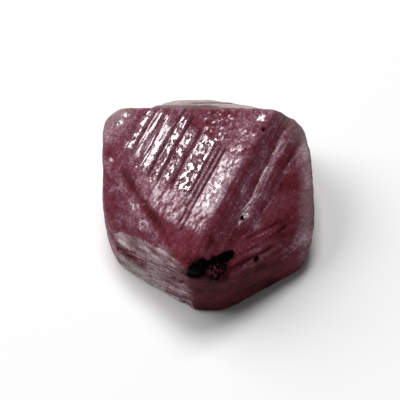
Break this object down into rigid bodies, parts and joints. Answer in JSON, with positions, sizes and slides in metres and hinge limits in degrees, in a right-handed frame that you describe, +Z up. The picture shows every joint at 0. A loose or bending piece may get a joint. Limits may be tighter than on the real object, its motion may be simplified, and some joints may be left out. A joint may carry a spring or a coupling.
{
  "type": "raw ruby crystal",
  "caption": "Raw, opaque wine-red ruby crystal: blunt hexagonal block with a grooved flat top, a broad left face, a stepped right face and a dark mineral pocket at the front.",
  "frame": {"origin": "centre of the crystal's bounding box in plan, on the plane of the lower basal face that it rests on", "axes": "+Z up, out of the grooved upper basal face and along the crystal's c axis; +X to the right across the crystal, from the left prism face to the right one, its longest extent; -Y towards the front point of the hexagon"},
  "size_m": [0.0204, 0.0192, 0.0103],
  "materials": {
    "ruby": "natural crystal faces, waxy to glassy, with frosted and pitted patches"
  },
  "bodies": {
    "root": {"ruby_crystal": "ruby"}
  },
  "joints": []
}
